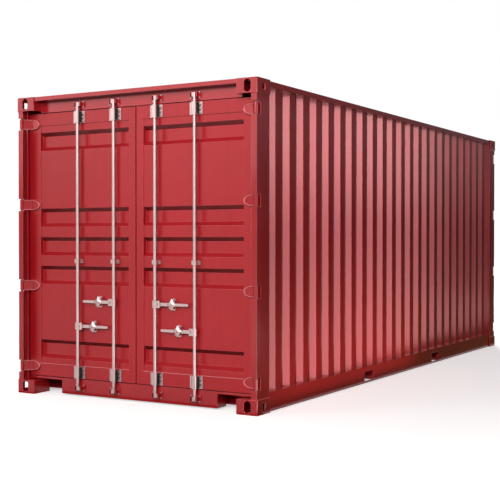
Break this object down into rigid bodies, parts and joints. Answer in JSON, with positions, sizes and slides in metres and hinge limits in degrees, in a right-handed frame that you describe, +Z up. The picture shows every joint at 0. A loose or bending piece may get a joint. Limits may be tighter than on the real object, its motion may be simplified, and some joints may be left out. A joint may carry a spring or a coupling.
{
  "type": "shipping container",
  "caption": "Steel dry freight container with corrugated walls, hinged doors at both ends, lock rods, corner castings and fork pockets, for carrying and stacking cargo.",
  "frame": {"origin": "centre of the footprint, on the plane of the lower castings' undersides", "axes": "+X across the width to the picture's right, +Y along the length away from the doors that open, +Z up"},
  "size_m": [2.438, 6.058, 2.591],
  "materials": {
    "red_paint": "glossy oxide red enamel over steel sheet and castings",
    "galvanised_steel": "hot dip galvanised lock rods, guides, handles and catches",
    "floor_plywood": "oiled hardwood plywood"
  },
  "bodies": {
    "container": {"cam_keepers": "red_paint", "cross_members": "red_paint", "floor": "floor_plywood", "fork_pocket_roofs": "red_paint", "front_header": "red_paint", "front_header_lip": "red_paint", "front_left_bottom_casting": "red_paint", "front_left_post": "red_paint", "front_left_top_casting": "red_paint", "front_right_bottom_casting": "red_paint", "front_right_post": "red_paint", "front_right_top_casting": "red_paint", "front_sill": "red_paint", "hinge_pins": "red_paint", "left_bottom_rail": "red_paint", "left_side_wall": "red_paint", "left_top_rail": "red_paint", "rear_handle_catches": "galvanised_steel", "rear_handles": "galvanised_steel", "rear_header": "red_paint", "rear_header_lip": "red_paint", "rear_hinges": "red_paint", "rear_left_bottom_casting": "red_paint", "rear_left_door": "red_paint", "rear_left_post": "red_paint", "rear_left_top_casting": "red_paint", "rear_right_bottom_casting": "red_paint", "rear_right_door": "red_paint", "rear_right_post": "red_paint", "rear_right_top_casting": "red_paint", "rear_rod_guides": "galvanised_steel", "rear_rods": "galvanised_steel", "rear_sill": "red_paint", "right_bottom_rail": "red_paint", "right_side_wall": "red_paint", "right_top_rail": "red_paint", "roof": "red_paint"},
    "right_door": {"front_right_door": "red_paint", "front_right_handle_catches": "galvanised_steel", "front_right_hinges": "red_paint", "front_right_rod_guides": "galvanised_steel"},
    "right_inner_lock": {"front_right_inner_rod": "galvanised_steel", "front_right_inner_handle": "galvanised_steel"},
    "right_outer_lock": {"front_right_outer_rod": "galvanised_steel", "front_right_outer_handle": "galvanised_steel"},
    "left_door": {"front_left_door": "red_paint", "front_left_handle_catches": "galvanised_steel", "front_left_hinges": "red_paint", "front_left_rod_guides": "galvanised_steel"},
    "left_inner_lock": {"front_left_inner_rod": "galvanised_steel", "front_left_inner_handle": "galvanised_steel"},
    "left_outer_lock": {"front_left_outer_rod": "galvanised_steel", "front_left_outer_handle": "galvanised_steel"}
  },
  "joints": [
    {"name": "right_door_swing", "type": "hinge", "parent": "container", "child": "right_door", "pos_m": [1.192, -3.002, 1.2], "axis": [0, 0, 1], "range_deg": [0, 270]},
    {"name": "left_door_swing", "type": "hinge", "parent": "container", "child": "left_door", "pos_m": [-1.192, -3.002, 1.2], "axis": [0, 0, -1], "range_deg": [0, 270]},
    {"name": "right_inner_rod_turn", "type": "hinge", "parent": "right_door", "child": "right_inner_lock", "pos_m": [0.212, -2.957, 1.2], "axis": [0, 0, 1], "range_deg": [-100, 0]},
    {"name": "right_outer_rod_turn", "type": "hinge", "parent": "right_door", "child": "right_outer_lock", "pos_m": [0.6, -2.957, 1.2], "axis": [0, 0, -1], "range_deg": [-100, 0]},
    {"name": "left_inner_rod_turn", "type": "hinge", "parent": "left_door", "child": "left_inner_lock", "pos_m": [-0.212, -2.957, 1.2], "axis": [0, 0, -1], "range_deg": [-100, 0]},
    {"name": "left_outer_rod_turn", "type": "hinge", "parent": "left_door", "child": "left_outer_lock", "pos_m": [-0.6, -2.957, 1.2], "axis": [0, 0, 1], "range_deg": [-100, 0]}
  ]
}
